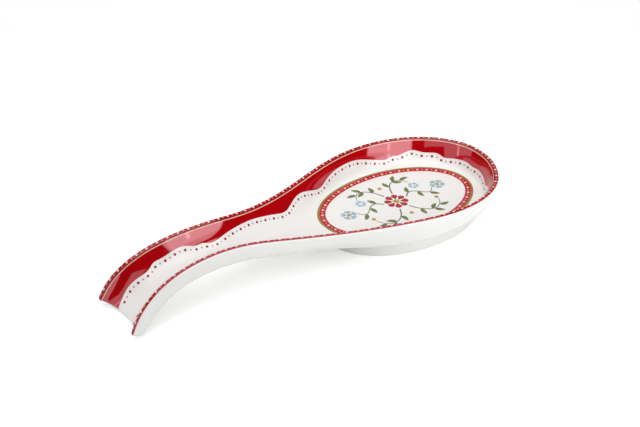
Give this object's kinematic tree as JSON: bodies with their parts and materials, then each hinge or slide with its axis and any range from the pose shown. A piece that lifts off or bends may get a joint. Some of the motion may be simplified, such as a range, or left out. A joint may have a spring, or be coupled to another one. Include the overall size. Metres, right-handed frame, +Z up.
{
  "type": "ladle rest",
  "caption": "Glazed porcelain ladle rest: an oval bowl on a foot ring with a curved trough handle, a dotted red rim band, a scalloped red border and an oval medallion.",
  "frame": {"origin": "on the table, under the middle of the bounding box", "axes": "+X from the tip of the handle to the bowl, along the length; +Z up; the object is symmetric about y = 0"},
  "size_m": [0.282, 0.1046, 0.038],
  "materials": {
    "porcelain": "clear glaze over white porcelain, glossy",
    "rim_red": "on-glaze transfer, glossy",
    "border_red": "on-glaze transfer, glossy",
    "print_white": "on-glaze transfer, glossy",
    "print_pink": "on-glaze transfer, glossy",
    "print_dark_olive": "on-glaze transfer, glossy",
    "print_cream": "on-glaze transfer, glossy",
    "lace_dark_red": "on-glaze transfer, glossy",
    "lace_grey_pink": "on-glaze transfer, glossy",
    "print_olive": "on-glaze transfer, glossy",
    "print_green": "on-glaze transfer, glossy",
    "print_rosette_red": "on-glaze transfer, glossy",
    "print_light_blue": "on-glaze transfer, glossy",
    "print_ochre": "on-glaze transfer, glossy"
  },
  "bodies": {
    "root": {"bowl_wall": "porcelain", "bowl_floor": "porcelain", "handle": "porcelain", "foot_ring": "porcelain", "rim_band": "rim_red", "rim_large_dots": "print_white", "rim_small_dots": "print_pink", "rim_dark_line": "print_dark_olive", "rim_cream_line": "print_cream", "scalloped_border": "border_red", "lace_large_dots": "lace_dark_red", "lace_small_dots": "lace_grey_pink", "medallion_olive_line": "print_olive", "medallion_red_band": "rim_red", "medallion_large_dots": "print_white", "medallion_small_dots": "print_pink", "spray_stems": "print_green", "spray_leaves": "print_green", "spray_red_flowers": "print_rosette_red", "spray_blue_flowers": "print_light_blue", "spray_ochre_buds": "print_ochre"}
  },
  "joints": []
}
